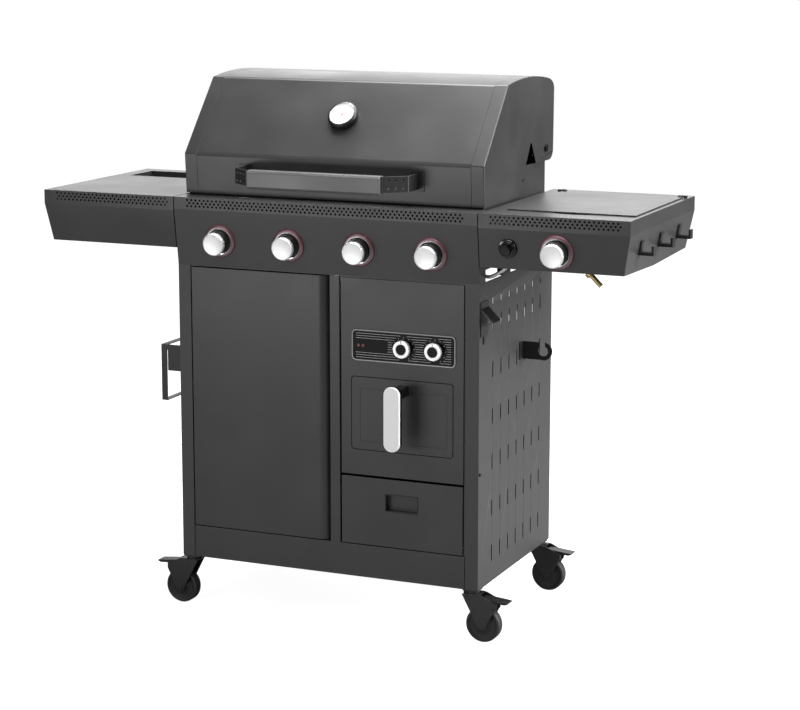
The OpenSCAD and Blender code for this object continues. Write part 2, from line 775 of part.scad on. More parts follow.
// Splayed arms from the bar's ends back to the lid
module handle_brackets() {
  arm = [[152, -52], [158, -52], [200, -18], [200, 30.4]];
  color("#262626") at_home() for (m = [0, 1]) mirror([m, 0, 0]) {
    difference() {
      translate([0, 0, 836]) linear_extrude(33) polygon(strip(arm, 3));
      for (t = [0.2, 0.5, 0.8], z = [844, 861])
        translate([158 + 42 * t, -52 + 34 * t, z]) rotate([90, 0, 39]) cylinder(h = 20, r = 2.6, center = true);
    }
    along_x(184, 214) polygon([[31.5, 832], [33.18, 832], [30.56, 873], [28.9, 873]]);
  }
}

module gauge_frame() {
  translate([0, gauge_y, gauge_z]) rotate([lid_slope, 0, 0]) children();
}

module gauge_case() {
  color("#1a1a1a") at_home() gauge_frame() {
    difference() {
      cylinder(h = 16, r = 33);
      translate([0, 0, 10]) cylinder(h = 7, r = 29);
    }
    translate([0, 0, 10]) cylinder(h = 2, r = 3);
  }
}

module gauge_needle() {
  color("#c04040") at_home() gauge_frame() translate([0, 0, 12.3]) {
    cylinder(h = 1, r = 3);
    rotate(120) block([-1, -6, 0], [1, 22, 1]);
  }
}

// ---------- knobs and igniter ----------

module gas_knob() {
  color("#111111") difference() {
    translate([0, 0, 1]) cylinder(h = 23, r = knob_r);
    translate([0, 0, 0]) cylinder(h = 15, r = 3.3);
    translate([0, 0, 0]) cylinder(h = 6, r = 16);
  }
  color("#e4e4e4") translate([0, 0, 24]) cylinder(h = 9, r = knob_r - 0.7);
}

module main_knob(i) { at_home() on_face(knob_xs[i], knob_z, cab_h) gas_knob(); }

module gas_knob_1() { main_knob(0); }

module gas_knob_2() { main_knob(1); }

module gas_knob_3() { main_knob(2); }

module gas_knob_4() { main_knob(3); }

module side_knob() { at_home() on_face(side_knob_x, side_knob_z, shelf_low_z) gas_knob(); }

module igniter_button() {
  color("#161616") at_home() on_face(igniter_x, igniter_z, shelf_low_z)
    translate([0, 0, -4]) cylinder(h = 24, r = 11);
}

module burner_lid() {
  color("#5c5c5c") at_home() difference() {
    union() {
      difference() {
        block([cover_x[0], cover_y[0], top_z + 0.4], [cover_x[1], cover_y[1], top_z + 3]);
        block([cover_x[0] + 2, cover_y[0] + 2, top_z], [cover_x[1] - 2, cover_y[1] - 2, top_z + 1.6]);
      }
      for (x = cover_knuckles) {
        rod_x(x, x + 9, cover_axis[0], cover_axis[1], 3.4);
        block([x, 378, top_z + 1.3], [x + 9, cover_axis[0], top_z + 3]);
      }
    }
    for (x = cover_knuckles) rod_x(x - 1, x + 10, cover_axis[0], cover_axis[1], 1.8);
  }
}

// ---------- castors ----------

module castor_plates() {
  color("#1e1e1e") at_home() for (x = [-stem_x, stem_x], y = stem_y) translate([x, y, 0]) {
    block([-17, -14.5, -3], [17, 14.5, 0]);
    translate([0, 0, -7]) cylinder(h = 4, r = 16);
    translate([0, 0, -14]) cylinder(h = 7, r = 5);
  }
}

// Castor parts are drawn with the wheel trailing towards +X
module fork() {
  color("#222222") difference() {
    union() {
      translate([0, 0, -11]) cylinder(h = 3.5, r = 19);
      block([0, -18, -11], [22, 18, -8]);
      for (s = [-1, 1]) along_y(s * 16.5 - 1.5, s * 16.5 + 1.5)
        polygon([[-18, -9], [26, -9], [58, -24], [58, -34], [trail + 9, axle_z - 4], [trail, axle_z - 9],
          [trail - 9, axle_z - 4]]);
      rod_y(-20, 20, trail, axle_z, 4);
    }
    rod_y(-21, 21, pedal_pivot[0], pedal_pivot[1], 2.4);
    translate([0, 0, -16]) cylinder(h = 10, r = 5.3);
  }
}

module castor_wheel() {
  color("#262626") difference() {
    union() {
      rod_y(-wheel_w / 2, wheel_w / 2, trail, axle_z, wheel_r);
      rod_y(-14, 14, trail, axle_z, 12);
    }
    rod_y(-15, 15, trail, axle_z, 4.3);
    for (s = [-1, 1]) difference() {
      rod_y(s * 11 - 3, s * 11 + 3, trail, axle_z, 29);
      rod_y(-15, 15, trail, axle_z, 13);
    }
  }
}

module pedal() {
  px = pedal_pivot[0];
  pz = pedal_pivot[1];
  color("#141414") {
    along_y(-14, 14) polygon([[26, -14.5], [40, -15.5], [84, -20], [84, -22.5], [77, -25],
      [60, -24], [40, -20], [26, -17.5]]);
    for (s = [-1, 1]) along_y(s * 12 - 2, s * 12 + 2)
      polygon([[44, -18.5], [60, -21], [px + 6, pz - 3], [px, pz - 6], [px - 4, pz]]);
    rod_y(-19, 19, px, pz, 2);
  }
}

module placed(sx, y) {
  at_home() translate([sx * stem_x, y, 0]) rotate(sx > 0 ? 0 : 180) children();
}

module castor_fork_fl() { placed(-1, stem_y[0]) fork(); }

module castor_fork_fr() { placed(1, stem_y[0]) fork(); }

module castor_fork_rl() { placed(-1, stem_y[1]) fork(); }

module castor_fork_rr() { placed(1, stem_y[1]) fork(); }

module wheel_fl() { placed(-1, stem_y[0]) castor_wheel(); }

module wheel_fr() { placed(1, stem_y[0]) castor_wheel(); }

module wheel_rl() { placed(-1, stem_y[1]) castor_wheel(); }

module wheel_rr() { placed(1, stem_y[1]) castor_wheel(); }

module brake_pedal_fl() { placed(-1, stem_y[0]) pedal(); }

module brake_pedal_fr() { placed(1, stem_y[0]) pedal(); }

module brake_pedal_rl() { placed(-1, stem_y[1]) pedal(); }

module brake_pedal_rr() { placed(1, stem_y[1]) pedal(); }

// Door pins, hinge bolts' heads and the visible screws
module fasteners() {
  color("#b8b8b8") at_home() {
    translate([door_pin.x, door_pin.y, toe_h]) cylinder(h = 9, r = 3);
    translate([door_pin.x, door_pin.y, 642]) cylinder(h = cab_h - 1.5 - 642, r = 3);
    for (s = [-1, 1]) {
      rod_x(s > 0 ? fire_half - 6 : -lid_half - 2, s > 0 ? lid_half + 2 : 6 - fire_half, hinge[0], hinge[1], 4);
      rod_x(s > 0 ? lid_half + 0.4 : -lid_half - 4, s > 0 ? lid_half + 4 : -lid_half - 0.4, hinge[0], hinge[1], 8);
      for (p = [[276, 855], [274.5, 836]])
        rod_x(s > 0 ? fire_half : -fire_half - 2, s > 0 ? fire_half + 2 : -fire_half, p[0], p[1], 3);
      rod_x(s > 0 ? half : -half - 2.5, s > 0 ? half + 2.5 : -half, 7, 248.5, 3.5);
    }
  }
}

left_side_panel();
right_side_panel();
back_panel();
floor_panel();
front_frame();
control_panel();
control_bezels();
left_shelf();
right_shelf();
right_fascia();
utensil_holders();
side_rack();
firebox();
cast_grates();
warming_rack();
heat_plates();
burners();
manifold();
side_gas_tube();
gas_inlet();
side_burner();
fryer_housing();
fryer_front();
fryer_heater();
castor_plates();
fasteners();
lid_skin();
lid_end_caps();
lid_handle();
handle_brackets();
gauge_case();
gauge_needle();
door();
fryer_basket();
crisper_plate();
basket_handle();
storage_drawer();
grease_tray();
gas_knob_1();
gas_knob_2();
gas_knob_3();
gas_knob_4();
side_knob();
igniter_button();
fryer_knob_left();
fryer_knob_right();
burner_lid();
castor_fork_fl();
castor_fork_fr();
castor_fork_rl();
castor_fork_rr();
wheel_fl();
wheel_fr();
wheel_rl();
wheel_rr();
brake_pedal_fl();
brake_pedal_fr();
brake_pedal_rl();
brake_pedal_rr();
fryer_fan();
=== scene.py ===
import json
import math

import bmesh
import bpy
from mathutils import Matrix, Vector

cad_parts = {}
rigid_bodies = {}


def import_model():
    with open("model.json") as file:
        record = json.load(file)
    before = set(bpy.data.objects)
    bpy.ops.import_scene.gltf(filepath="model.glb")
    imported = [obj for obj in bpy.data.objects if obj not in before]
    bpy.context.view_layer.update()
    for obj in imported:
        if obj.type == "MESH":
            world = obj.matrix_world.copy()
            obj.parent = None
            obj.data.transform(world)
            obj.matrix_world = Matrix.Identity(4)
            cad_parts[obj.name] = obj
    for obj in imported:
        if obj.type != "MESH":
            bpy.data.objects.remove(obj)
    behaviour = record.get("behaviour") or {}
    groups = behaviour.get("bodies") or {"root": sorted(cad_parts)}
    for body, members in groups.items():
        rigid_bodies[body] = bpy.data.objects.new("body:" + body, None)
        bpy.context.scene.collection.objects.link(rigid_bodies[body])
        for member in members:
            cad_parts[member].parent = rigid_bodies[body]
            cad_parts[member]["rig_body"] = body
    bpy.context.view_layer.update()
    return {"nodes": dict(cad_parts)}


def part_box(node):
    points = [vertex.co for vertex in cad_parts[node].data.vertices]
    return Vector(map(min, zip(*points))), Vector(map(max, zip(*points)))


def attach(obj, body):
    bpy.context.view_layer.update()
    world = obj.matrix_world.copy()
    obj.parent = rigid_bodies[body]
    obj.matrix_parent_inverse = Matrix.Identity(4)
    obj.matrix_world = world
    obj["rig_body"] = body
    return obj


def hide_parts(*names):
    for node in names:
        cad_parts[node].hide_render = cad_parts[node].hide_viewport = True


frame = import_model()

# ---------------------------------------------------------------- cart measures
# The cart is drawn in millimetres from the middle of the cabinet's lower front edge:
# X to the right, Y to the back, Z up. CART turns that into the frame's metres.
LEFT_LOW, LEFT_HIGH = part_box("left_side_panel")
RIGHT_LOW, RIGHT_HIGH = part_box("right_side_panel")
ORIGIN = Vector(((LEFT_LOW.x + RIGHT_HIGH.x) / 2, LEFT_LOW.y, LEFT_LOW.z))
CART = Matrix.Translation(ORIGIN) @ Matrix.Scale(0.001, 4)
UNCART = CART.inverted()


def cart_box(node):
    """Lowest and highest corner of a CAD node in cart millimetres."""
    low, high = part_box(node)
    return UNCART @ low, UNCART @ high


HALF = (RIGHT_HIGH.x - LEFT_LOW.x) * 500
CAB_TOP = cart_box("left_side_panel")[1].z
BAND_Y = cart_box("control_panel")[0].y
KINK_Z = 774
FACE_TILT = math.atan2(-BAND_Y, KINK_Z - CAB_TOP)
FASCIA_KINK_Z, FASCIA_LOW_Z = 770, 688
FASCIA_Y = BAND_Y + (FASCIA_KINK_Z - FASCIA_LOW_Z) * math.tan(FACE_TILT)
HOLES_Z = 781
SLOT_FIRST, SLOT_STEP = 78.5, 48.1
KNOB_STEP = 163


# ---------------------------------------------------------------- small helpers
def linear(hex_colour):
    """sRGB hex to linear RGBA."""
    parts = [int(hex_colour[i:i + 2], 16) / 255 for i in (1, 3, 5)]
    return [c / 12.92 if c <= 0.04045 else ((c + 0.055) / 1.055) ** 2.4 for c in parts] + [1.0]


def add(tree, kind, settings=None, links=None, **attributes):
    """Adds a node; settings fill its sockets by name or number, links join sockets to it."""
    node = tree.nodes.new(kind)
    for name, value in attributes.items():
        setattr(node, name, value)
    for name, value in (settings or {}).items():
        node.inputs[name].default_value = value
    for name, source in (links or {}).items():
        tree.links.new(source, node.inputs[name])
    return node


def new_material(name):
    material = bpy.data.materials.new(name)
    material.use_nodes = True
    tree = material.node_tree
    tree.nodes.clear()
    shader = add(tree, "ShaderNodeBsdfPrincipled")
    output = add(tree, "ShaderNodeOutputMaterial", links={"Surface": shader.outputs[0]})
    output.location = (300, 0)
    place = add(tree, "ShaderNodeTexCoord")
    return material, tree, shader, place.outputs["Object"]


def per_mm(size):
    """Noise scale whose features are about size millimetres."""
    return 1000 / size


# ---------------------------------------------------------------- materials
def powder_coat(name, colour, roughness=0.42, grain=1.6, depth=0.05, dust="#6f6f6f", sheen_of_dust=0.04):
    """Epoxy-polyester powder coat on steel: a fine orange peel that breaks up the highlight,
    with slow changes of gloss over the sheet and a faint film of dust."""
    material, tree, shader, place = new_material(name)
    peel = add(tree, "ShaderNodeTexNoise", {"Scale": per_mm(grain), "Detail": 3, "Roughness": 0.55},
               {"Vector": place})
    cloud = add(tree, "ShaderNodeTexNoise", {"Scale": per_mm(140), "Detail": 4}, {"Vector": place})
    tone = add(tree, "ShaderNodeMix", {"Factor": sheen_of_dust}, data_type="RGBA")
    tone.inputs[6].default_value = linear(colour)
    tone.inputs[7].default_value = linear(dust)
    film = add(tree, "ShaderNodeMapRange", {"From Min": 0.4, "From Max": 0.7, "To Min": 0,
                                            "To Max": sheen_of_dust},
               {"Value": cloud.outputs["Fac"]})
    tree.links.new(film.outputs[0], tone.inputs["Factor"])
    gloss = add(tree, "ShaderNodeMapRange", {"From Min": 0.3, "From Max": 0.7, "To Min": roughness - 0.04,
                                             "To Max": roughness + 0.05}, {"Value": cloud.outputs["Fac"]})
    bump = add(tree, "ShaderNodeBump", {"Strength": 0.35, "Distance": depth / 1000},
               {"Height": peel.outputs["Fac"]})
    tree.links.new(tone.outputs[2], shader.inputs["Base Color"])
    tree.links.new(gloss.outputs[0], shader.inputs["Roughness"])
    tree.links.new(bump.outputs[0], shader.inputs["Normal"])
    shader.inputs["IOR"].default_value = 1.5
    shader.inputs["Specular IOR Level"].default_value = 0.5
    return material


def bright_metal(name, colour, roughness=0.12, scratch=0.0, stretch=(1, 1, 1)):
    """Plated or polished metal: its colour is all in the reflection; scratch sets how strongly
    fine brushing lines turn it, along the stretched axis."""
    material, tree, shader, place = new_material(name)
    lines = add(tree, "ShaderNodeMapping", {"Scale": stretch}, {"Vector": place})
    brushing = add(tree, "ShaderNodeTexNoise", {"Scale": per_mm(0.9), "Detail": 4},
                   {"Vector": lines.outputs[0]})
    gloss = add(tree, "ShaderNodeMapRange", {"To Min": roughness * 0.8, "To Max": roughness * 1.4},
                {"Value": brushing.outputs["Fac"]})
    bump = add(tree, "ShaderNodeBump", {"Strength": scratch, "Distance": 0.00005},
               {"Height": brushing.outputs["Fac"]})
    tone = add(tree, "ShaderNodeMix", data_type="RGBA")
    tree.links.new(brushing.outputs["Fac"], tone.inputs["Factor"])
    tone.inputs[6].default_value = linear(colour)
    tone.inputs[7].default_value = [c * 0.92 for c in linear(colour)[:3]] + [1]
    tree.links.new(tone.outputs[2], shader.inputs["Base Color"])
    tree.links.new(gloss.outputs[0], shader.inputs["Roughness"])
    tree.links.new(bump.outputs[0], shader.inputs["Normal"])
    shader.inputs["Metallic"].default_value = 1.0
    return material


def moulded_plastic(name, colour, roughness, grain=0.8, depth=0.03, ior=1.49):
    """Injection-moulded plastic: a fine eroded tool texture and a soft highlight."""
    material, tree, shader, place = new_material(name)
    texture = add(tree, "ShaderNodeTexNoise", {"Scale": per_mm(grain), "Detail": 2}, {"Vector": place})
    tone = add(tree, "ShaderNodeMix", data_type="RGBA")
    tree.links.new(texture.outputs["Fac"], tone.inputs["Factor"])
    tone.inputs[6].default_value = linear(colour)
    tone.inputs[7].default_value = [c * 1.25 for c in linear(colour)[:3]] + [1]
    bump = add(tree, "ShaderNodeBump", {"Strength": 0.3, "Distance": depth / 1000},
               {"Height": texture.outputs["Fac"]})
    tree.links.new(tone.outputs[2], shader.inputs["Base Color"])
    tree.links.new(bump.outputs[0], shader.inputs["Normal"])
    shader.inputs["Roughness"].default_value = roughness
    shader.inputs["IOR"].default_value = ior
    return material


def cast_iron():
    """Enamelled grey cast iron: a coarse sand-cast skin under a matt vitreous coat."""
    material, tree, shader, place = new_material("matt_enamelled_cast_iron")
    sand = add(tree, "ShaderNodeTexNoise", {"Scale": per_mm(1.4), "Detail": 5, "Roughness": 0.7},
               {"Vector": place})
    tone = add(tree, "ShaderNodeValToRGB", links={"Fac": sand.outputs["Fac"]})
    tone.color_ramp.elements[0].color = linear("#161616")
    tone.color_ramp.elements[1].color = linear("#2e2c2b")
    bump = add(tree, "ShaderNodeBump", {"Strength": 0.6, "Distance": 0.0002},
               {"Height": sand.outputs["Fac"]})
    tree.links.new(tone.outputs[0], shader.inputs["Base Color"])
    tree.links.new(bump.outputs[0], shader.inputs["Normal"])
    shader.inputs["Roughness"].default_value = 0.62
    return material


def clear_glass():
    """Flat gauge glass, thin and slightly reflective."""
    material, tree, shader, _ = new_material("gauge_glass")
    shader.inputs["Base Color"].default_value = (1, 1, 1, 1)
    shader.inputs["Roughness"].default_value = 0.02
    shader.inputs["IOR"].default_value = 1.45
    shader.inputs["Alpha"].default_value = 0.12
    return material


def lamp_lens():
    """Red neon indicator behind a small moulded lens, dimly lit."""
    material, tree, shader, _ = new_material("red_indicator_lens")
    shader.inputs["Base Color"].default_value = linear("#5e2a30")
    shader.inputs["Roughness"].default_value = 0.25
    shader.inputs["Emission Color"].default_value = linear("#80323a")
    shader.inputs["Emission Strength"].default_value = 0.15
    return material


panel_black = powder_coat("black_powder_coat_side_panels", "#2f2f2f", roughness=0.50)
front_black = powder_coat("black_powder_coat_fronts", "#2b2b2b", roughness=0.40)
shelf_black = powder_coat("black_powder_coat_shelves", "#2d2d2d", roughness=0.38)
lid_black = powder_coat("black_heatproof_lid_paint", "#2b2b2b", roughness=0.36, grain=1.2)
handle_grey = powder_coat("grey_satin_handle_paint", "#4a4a4a", roughness=0.34, grain=1.0)
hook_black = powder_coat("deep_black_powder_coat_hooks", "#101010", roughness=0.45)
firebox_black = powder_coat("black_heatproof_enamel_firebox", "#191919", roughness=0.55, grain=2.2,
                            depth=0.1)
castor_black = powder_coat("black_paint_castor_steel", "#141414", roughness=0.4)
basket_black = powder_coat("non_stick_coating_basket", "#1a1a1a", roughness=0.14, grain=2.5, depth=0.01)
chrome = bright_metal("bright_chrome_plate", "#e9ebec", roughness=0.08)
spun_aluminium = bright_metal("spun_aluminium_knob_caps", "#f6f6f6", roughness=0.46, scratch=0.15)
stainless = bright_metal("brushed_stainless_steel", "#c9c9c6", roughness=0.28, scratch=0.3,
                         stretch=(0.05, 1, 1))
zinc = bright_metal("zinc_coated_steel", "#a8abae", roughness=0.38, scratch=0.2)
brass = bright_metal("turned_brass", "#b5a470", roughness=0.3, scratch=0.1)
rose_ring = bright_metal("rose_tinted_bezel_ring", "#7d6a6e", roughness=0.36)
rose_edge = powder_coat("dark_red_bezel_rim", "#7c2f3f", roughness=0.4)
black_screw = bright_metal("black_oxide_screws", "#2b2b2b", roughness=0.4)
iron = cast_iron()
matt_plastic = moulded_plastic("black_glass_filled_nylon_knobs", "#0e0e0e", 0.38)
gloss_plastic = moulded_plastic("gloss_black_abs_grip", "#0b0b0b", 0.12, depth=0.005)
bright_cover = moulded_plastic("pearl_white_cover_of_the_grip", "#dcdcdc", 0.3, depth=0.008)
tyre_rubber = moulded_plastic("black_thermoplastic_rubber_tyres", "#1b1b1b", 0.62, grain=1.5, depth=0.08,
                              ior=1.52)
dial_white = moulded_plastic("printed_white_dial", "#e8e8e6", 0.4, depth=0.0)
print_grey = moulded_plastic("pale_grey_screen_print", "#b9b9b9", 0.5, depth=0.0)
print_black = moulded_plastic("black_screen_print", "#202020", 0.5, depth=0.0)
needle_red = moulded_plastic("red_painted_needle", "#c0404a", 0.4, depth=0.0)


# ---------------------------------------------------------------- mesh helpers
def finish_piece(mesh_or_bm, name, material, body, replaces=(), smooth=35, bevel=0.0, segments=2):
    """Turns a bmesh in cart millimetres (or a ready mesh in metres) into a piece that rides on a body."""
    if isinstance(mesh_or_bm, bmesh.types.BMesh):
        bm = mesh_or_bm
        bm.transform(CART)
        mesh = bpy.data.meshes.new(name)
        bm.to_mesh(mesh)
        bm.free()
    else:
        mesh = mesh_or_bm
    piece = bpy.data.objects.new(name, mesh)
    bpy.context.scene.collection.objects.link(piece)
    if not mesh.materials:
        for one in material if isinstance(material, (list, tuple)) else [material]:
            mesh.materials.append(one)
    mesh.shade_smooth()
    mesh.set_sharp_from_angle(angle=math.radians(smooth))
    if bevel:
        edge = piece.modifiers.new("edge", "BEVEL")
        edge.width = bevel / 1000
        edge.segments = segments
        edge.limit_method = "ANGLE"
        edge.angle_limit = math.radians(30)
        edge.use_clamp_overlap = True
        edge.harden_normals = True
    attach(piece, body)
    for node in replaces:
        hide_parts(node)
    return piece


def copy_of(node):
    """Merged copy of a CAD node's mesh in cart millimetres, its flat faces joined."""
    bm = bmesh.new()
    bm.from_mesh(frame["nodes"][node].data)
    bm.transform(UNCART)
    bmesh.ops.remove_doubles(bm, verts=bm.verts, dist=0.01)
    bmesh.ops.dissolve_limit(bm, angle_limit=math.radians(0.5), verts=bm.verts, edges=bm.edges)
    for face in bm.faces:
        face.material_index = 0
    return bm


def soften(bm, fold, rim, long_edge=25):
    """Sets bevel weights on the sheet's edges: folds get the full weight, for rounding by fold, and cut
    rims and small corners the share that rounds them by rim, in millimetres.
    """
    def breadth(face):
        return 2 * face.calc_area() / face.calc_perimeter()

    def sharp(edge):
        return len(edge.link_faces) == 2 and edge.calc_face_angle(0) > math.radians(25)

    layer = bm.edges.layers.float.get("bevel_weight_edge") or bm.edges.layers.float.new("bevel_weight_edge")
    folds = [e for e in bm.edges if sharp(e) and e.calc_length() > long_edge
             and min(breadth(f) for f in e.link_faces) > 4]
    for edge in bm.edges:
        if sharp(edge):
            edge[layer] = rim / fold
    for edge in folds:
        edge[layer] = 1.0


def even_normals(piece):
    """Lets the large flat faces set the shading round every small rounding."""
    normals = piece.modifiers.new("normals", "WEIGHTED_NORMAL")
    normals.weight = 100
    normals.keep_sharp = True


def softened(node, name, material, body=None, fold=1.2, rim=0.35, edit=None, segments=3):
    """A CAD node's copy with rounded folds and rims, in place of the node."""
    bm = copy_of(node)
    if edit:
        edit(bm)
    soften(bm, fold, rim)
    piece = finish_piece(bm, name, material, body or frame["nodes"][node]["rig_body"], [node])
    edge = piece.modifiers.new("edge", "BEVEL")
    edge.width = fold / 1000
    edge.segments = segments
    edge.limit_method = "WEIGHT"
    edge.use_clamp_overlap = False
    even_normals(piece)
    return piece


def block(bm, low, high, material=0):
    low, high = Vector(low), Vector(high)
    made = bmesh.ops.create_cube(bm, size=1.0)["verts"]
    bmesh.ops.scale(bm, vec=high - low, verts=made)
    bmesh.ops.translate(bm, vec=(low + high) / 2, verts=made)
    for face in {f for v in made for f in v.link_faces}:
        face.material_index = material
    return made


def turned(bm, profile, place, steps=48, material=0):
    """Revolves a profile of (radius, height) about Z and puts it in place; the ends close on the axis."""
    rings = []
    for radius, height in profile:
        if radius < 1e-6:
            rings.append([bm.verts.new(place @ Vector((0, 0, height)))])
        else:
            rings.append([bm.verts.new(place @ Vector((radius * math.cos(a), radius * math.sin(a), height)))
                          for a in (2 * math.pi * k / steps for k in range(steps))])
    faces = []
    for low, high in zip(rings, rings[1:]):
        for k in range(steps):
            nxt = (k + 1) % steps
            if len(low) == 1 and len(high) == 1:
                continue
            if len(low) == 1:
                faces.append(bm.faces.new([low[0], high[nxt], high[k]]))
            elif len(high) == 1:
                faces.append(bm.faces.new([low[k], low[nxt], high[0]]))
            else:
                faces.append(bm.faces.new([low[k], low[nxt], high[nxt], high[k]]))
    for face in faces:
        face.material_index = material
        face.smooth = True
    return faces


def prism(bm, outline, place, depth, material=0):
    """Extrudes a flat outline of (x, y) points along Z by depth and puts it in place."""
    low = [bm.verts.new(place @ Vector((x, y, 0))) for x, y in outline]
    high = [bm.verts.new(place @ Vector((x, y, depth))) for x, y in outline]
    count = len(outline)
    faces = [bm.faces.new(list(reversed(low))), bm.faces.new(high)]
    for k in range(count):
        nxt = (k + 1) % count
        faces.append(bm.faces.new([low[k], low[nxt], high[nxt], high[k]]))
    for face in faces:
        face.material_index = material
    return faces


def rounded_outline(low, high, radius, steps=8):
    """Rectangle with arcs at its corners, counter-clockwise."""
    points = []
    corners = [((high[0] - radius, low[1] + radius), -90), ((high[0] - radius, high[1] - radius), 0),
               ((low[0] + radius, high[1] - radius), 90), ((low[0] + radius, low[1] + radius), 180)]
    for (x, y), start in corners:
        for k in range(steps + 1):
            angle = math.radians(start + 90 * k / steps)
            points.append((x + radius * math.cos(angle), y + radius * math.sin(angle)))
    return points


def front_place(x, y, z):
    """Local X to the right, local Y up, local Z out to the front."""
    return Matrix.Translation((x, y, z)) @ Matrix.Rotation(math.radians(90), 4, "X")


def panel_place(x, z, low_y, low_z):
    """As front_place, on a face that leans out by FACE_TILT above (low_y, low_z)."""
    y = low_y - (z - low_z) * math.tan(FACE_TILT)
    return Matrix.Translation((x, y, z)) @ Matrix.Rotation(math.radians(90) + FACE_TILT, 4, "X")


def recalculated(bm):
    bmesh.ops.recalc_face_normals(bm, faces=bm.faces)
    return bm


def cut(piece, cutter):
    """Subtracts the cutter object from a piece that has no modifiers left."""
    knife = piece.modifiers.new("cut", "BOOLEAN")
    knife.object = cutter
    knife.operation = "DIFFERENCE"
    knife.solver = "EXACT"
    apply_modifiers(piece)
    bpy.data.objects.remove(cutter)
    return piece


def apply_modifiers(piece):
    """Replaces a piece's mesh by what its modifiers make."""
    view = bpy.context.evaluated_depsgraph_get()
    mesh = bpy.data.meshes.new_from_object(piece.evaluated_get(view))
    piece.modifiers.clear()
    piece.data = mesh
    return piece


# ---------------------------------------------------------------- geometry node trees
def group_of(name, inputs):
    tree = bpy.data.node_groups.new(name, "GeometryNodeTree")
    for label, kind in inputs:
        tree.interface.new_socket(label, in_out="INPUT", socket_type=kind)
    tree.interface.new_socket("Geometry", in_out="OUTPUT", socket_type="NodeSocketGeometry")
    return tree, tree.nodes.new("NodeGroupInput"), tree.nodes.new("NodeGroupOutput")


def perforation_tree():
    """Staggered rows of round pins: columns along X, rows along Z, pins along Y."""
    inputs = [("Columns", "NodeSocketInt"), ("Rows", "NodeSocketInt"), ("Pitch", "NodeSocketFloat"),
              ("Row Spacing", "NodeSocketFloat"), ("Radius", "NodeSocketFloat"),
              ("Depth", "NodeSocketFloat"),
              ("Corner", "NodeSocketVector"), ("Material", "NodeSocketMaterial")]
    tree, given, out = group_of("perforation_rows", inputs)
    step = add(tree, "ShaderNodeCombineXYZ", links={"X": given.outputs["Pitch"]})
    row = add(tree, "GeometryNodeMeshLine", links={"Count": given.outputs["Columns"],
                                                   "Offset": step.outputs[0]})
    rise = add(tree, "ShaderNodeCombineXYZ", links={"Z": given.outputs["Row Spacing"]})
    starts = add(tree, "GeometryNodeMeshLine", links={"Count": given.outputs["Rows"],
                                                      "Offset": rise.outputs[0],
                                                      "Start Location": given.outputs["Corner"]})
    index = add(tree, "GeometryNodeInputIndex")
    odd = add(tree, "ShaderNodeMath", {1: 2.0}, {0: index.outputs[0]}, operation="MODULO")
    half_pitch = add(tree, "ShaderNodeMath", {1: 0.5}, {0: given.outputs["Pitch"]}, operation="MULTIPLY")
    shift = add(tree, "ShaderNodeMath", links={0: odd.outputs[0], 1: half_pitch.outputs[0]},
                operation="MULTIPLY")
    offset = add(tree, "ShaderNodeCombineXYZ", links={"X": shift.outputs[0]})
    zigzag = add(tree, "GeometryNodeSetPosition",
                 links={"Geometry": starts.outputs[0], "Offset": offset.outputs[0]})
    grid = add(tree, "GeometryNodeInstanceOnPoints",
               links={"Points": zigzag.outputs[0], "Instance": row.outputs[0]})
    points = add(tree, "GeometryNodeRealizeInstances", links={"Geometry": grid.outputs[0]})
    pin = add(tree, "GeometryNodeMeshCylinder", {"Vertices": 12}, {"Radius": given.outputs["Radius"],
                                                                  "Depth": given.outputs["Depth"]})
    pins = add(tree, "GeometryNodeInstanceOnPoints", {"Rotation": (math.radians(90), 0, 0)},
               {"Points": points.outputs[0], "Instance": pin.outputs["Mesh"]})
    real = add(tree, "GeometryNodeRealizeInstances", links={"Geometry": pins.outputs[0]})
    coat = add(tree, "GeometryNodeSetMaterial",
               links={"Geometry": real.outputs[0], "Material": given.outputs["Material"]})
    tree.links.new(coat.outputs[0], out.inputs[0])
    return tree


